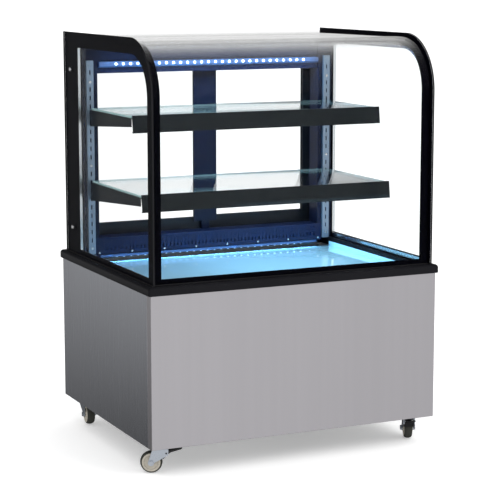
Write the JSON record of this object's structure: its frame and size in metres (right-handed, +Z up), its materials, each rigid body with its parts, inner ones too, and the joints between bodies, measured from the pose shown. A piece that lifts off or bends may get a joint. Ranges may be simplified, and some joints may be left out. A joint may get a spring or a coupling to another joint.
{
  "type": "bakery display case",
  "caption": "Refrigerated bakery display case with curved glass, glass shelves, rear sliding doors and swivel casters under a steel base.",
  "frame": {"origin": "on the floor under the middle of the case", "axes": "+Z up, customer side towards -Y, server side towards +Y, +X to the right seen from the front"},
  "size_m": [0.9, 0.73, 1.19],
  "materials": {
    "chassis_steel": "black powder coat",
    "galvanised_sheet": "zinc-coated sheet, dull",
    "front_stainless": "vertical brushed grain",
    "side_paint": "satin grey coat",
    "rear_paint": "satin black coat",
    "screw_zinc": "bright zinc",
    "caster_zinc": "blue-grey zinc plating",
    "wheel_tread": "dark tread, beige moulded sides",
    "brake_black": "black coat",
    "trim_black": "black satin extrusion",
    "tank_liner": "stucco liner over foam",
    "deck_steel": "polished stainless sheet",
    "case_glass": "clear double glazing",
    "spacer_aluminium": "mill finish spacer bar",
    "frame_black": "blue-black coat",
    "track_plastic": "extruded guide",
    "duct_paint": "navy coat, perforated",
    "door_frame_black": "anodised black",
    "door_glass": "clear float glass",
    "standard_steel": "satin coat",
    "bracket_steel": "light grey coat",
    "shelf_glass": "polished green edge",
    "ticket_black": "black extruded strip",
    "lamp_channel": "anodised channel",
    "led_white": "lit diode, cool white",
    "compressor_black": "black stove enamel",
    "coil_fins": "bare aluminium fins",
    "fan_plastic": "moulded blades",
    "shroud_plastic": "moulded frame",
    "box_grey": "moulded junction box",
    "pan_plastic": "vacuum-formed tray",
    "copper_tube": "drawn copper tube",
    "controller_black": "moulded bezel",
    "button_grey": "soft grey caps",
    "switch_black": "moulded housing",
    "rocker_green": "translucent green rocker",
    "gland_nylon": "nylon gland"
  },
  "bodies": {
    "cabinet": {"air_duct_cover": "duct_paint", "base_pan": "galvanised_sheet", "bent_glass": "case_glass", "caster_plates": "caster_zinc", "centre_post": "frame_black", "chassis": "chassis_steel", "compressor": "compressor_black", "condensate_pan": "pan_plastic", "condenser_coil": "coil_fins", "condenser_shroud": "shroud_plastic", "controller": "controller_black", "copper_lines": "copper_tube", "cord_gland": "gland_nylon", "deck_panel": "deck_steel", "door_tracks": "track_plastic", "electrical_box": "box_grey", "evaporator_coil": "coil_fins", "evaporator_fan_frame": "shroud_plastic", "front_panel": "front_stainless", "glazing_spacers": "spacer_aluminium", "insulated_tank": "tank_liner", "lamp_channels": "lamp_channel", "led_diodes": "led_white", "left_side_glass": "case_glass", "left_side_panel": "side_paint", "rear_grille": "rear_paint", "rear_header": "frame_black", "rear_posts": "frame_black", "rear_sill": "frame_black", "right_side_glass": "case_glass", "right_side_panel": "side_paint", "screws": "screw_zinc", "shelf_brackets": "bracket_steel", "shelf_standards": "standard_steel", "switch_housing": "switch_black", "trim_ring": "trim_black"},
    "caster_front_left": {"fork_front_left": "caster_zinc"},
    "caster_front_right": {"fork_front_right": "caster_zinc"},
    "caster_rear_left": {"fork_rear_left": "caster_zinc"},
    "caster_rear_right": {"fork_rear_right": "caster_zinc"},
    "wheel_front_left": {"wheel_front_left": "wheel_tread"},
    "wheel_front_right": {"wheel_front_right": "wheel_tread"},
    "wheel_rear_left": {"wheel_rear_left": "wheel_tread"},
    "wheel_rear_right": {"wheel_rear_right": "wheel_tread"},
    "brake_front_left": {"brake_front_left": "brake_black"},
    "brake_front_right": {"brake_front_right": "brake_black"},
    "left_door": {"left_door_frame": "door_frame_black", "left_door_glass": "door_glass"},
    "right_door": {"right_door_frame": "door_frame_black", "right_door_glass": "door_glass"},
    "upper_shelf": {"upper_shelf": "shelf_glass", "upper_ticket_strip": "ticket_black"},
    "lower_shelf": {"lower_shelf": "shelf_glass", "lower_ticket_strip": "ticket_black"},
    "condenser_fan": {"condenser_fan": "fan_plastic"},
    "evaporator_fan": {"evaporator_fan": "fan_plastic"},
    "button_set": {"button_set": "button_grey"},
    "button_up": {"button_up": "button_grey"},
    "button_down": {"button_down": "button_grey"},
    "light_rocker": {"light_rocker": "rocker_green"}
  },
  "joints": [
    {"name": "front_left_swivel", "type": "hinge", "parent": "cabinet", "child": "caster_front_left", "pos_m": [-0.393, -0.303, 0.07], "axis": [0, 0, 1], "continuous": true},
    {"name": "front_left_roll", "type": "hinge", "parent": "caster_front_left", "child": "wheel_front_left", "pos_m": [-0.41838, -0.29117, 0.031], "axis": [0.4226, 0.9063, 0], "continuous": true},
    {"name": "front_left_brake", "type": "hinge", "parent": "caster_front_left", "child": "brake_front_left", "pos_m": [-0.38031, -0.30892, 0.058], "axis": [0.4226, 0.9063, 0], "range_deg": [0, 14]},
    {"name": "front_right_swivel", "type": "hinge", "parent": "cabinet", "child": "caster_front_right", "pos_m": [0.393, -0.303, 0.07], "axis": [0, 0, 1], "continuous": true},
    {"name": "front_right_roll", "type": "hinge", "parent": "caster_front_right", "child": "wheel_front_right", "pos_m": [0.40439, -0.27742, 0.031], "axis": [0.9135, -0.4067, 0], "continuous": true},
    {"name": "front_right_brake", "type": "hinge", "parent": "caster_front_right", "child": "brake_front_right", "pos_m": [0.38731, -0.31579, 0.058], "axis": [0.9135, -0.4067, 0], "range_deg": [0, 14]},
    {"name": "rear_left_swivel", "type": "hinge", "parent": "cabinet", "child": "caster_rear_left", "pos_m": [-0.393, 0.303, 0.07], "axis": [0, 0, 1], "continuous": true},
    {"name": "rear_left_roll", "type": "hinge", "parent": "caster_rear_left", "child": "wheel_rear_left", "pos_m": [-0.39544, 0.27511, 0.031], "axis": [-0.9962, 0.0872, 0], "continuous": true},
    {"name": "rear_right_swivel", "type": "hinge", "parent": "cabinet", "child": "caster_rear_right", "pos_m": [0.393, 0.303, 0.07], "axis": [0, 0, 1], "continuous": true},
    {"name": "rear_right_roll", "type": "hinge", "parent": "caster_rear_right", "child": "wheel_rear_right", "pos_m": [0.39786, 0.27542, 0.031], "axis": [-0.9848, -0.1736, 0], "continuous": true},
    {"name": "left_door_slide", "type": "slide", "parent": "cabinet", "child": "left_door", "axis": [1, 0, 0], "range_m": [0, 0.35]},
    {"name": "right_door_slide", "type": "slide", "parent": "cabinet", "child": "right_door", "axis": [1, 0, 0], "range_m": [-0.35, 0]},
    {"name": "upper_shelf_lift", "type": "slide", "parent": "cabinet", "child": "upper_shelf", "axis": [0, 0, 1], "range_m": [0, 0.03]},
    {"name": "lower_shelf_lift", "type": "slide", "parent": "cabinet", "child": "lower_shelf", "axis": [0, 0, 1], "range_m": [0, 0.03]},
    {"name": "condenser_fan_spin", "type": "hinge", "parent": "cabinet", "child": "condenser_fan", "pos_m": [0.21, 0.246, 0.235], "axis": [0, 1, 0], "continuous": true},
    {"name": "evaporator_fan_spin", "type": "hinge", "parent": "cabinet", "child": "evaporator_fan", "pos_m": [0, 0.2, 0.451], "axis": [0, 1, 0], "continuous": true},
    {"name": "button_set_press", "type": "slide", "parent": "cabinet", "child": "button_set", "axis": [0, -1, 0], "range_m": [0, 0.001], "stiffness_N_per_m": 400, "springref_m": -0.0005},
    {"name": "button_up_press", "type": "slide", "parent": "cabinet", "child": "button_up", "axis": [0, -1, 0], "range_m": [0, 0.001], "stiffness_N_per_m": 400, "springref_m": -0.0005},
    {"name": "button_down_press", "type": "slide", "parent": "cabinet", "child": "button_down", "axis": [0, -1, 0], "range_m": [0, 0.001], "stiffness_N_per_m": 400, "springref_m": -0.0005},
    {"name": "light_rocker_tip", "type": "hinge", "parent": "cabinet", "child": "light_rocker", "pos_m": [-0.06, 0.357, 0.362], "axis": [0, 0, 1], "range_deg": [-16, 0]}
  ]
}
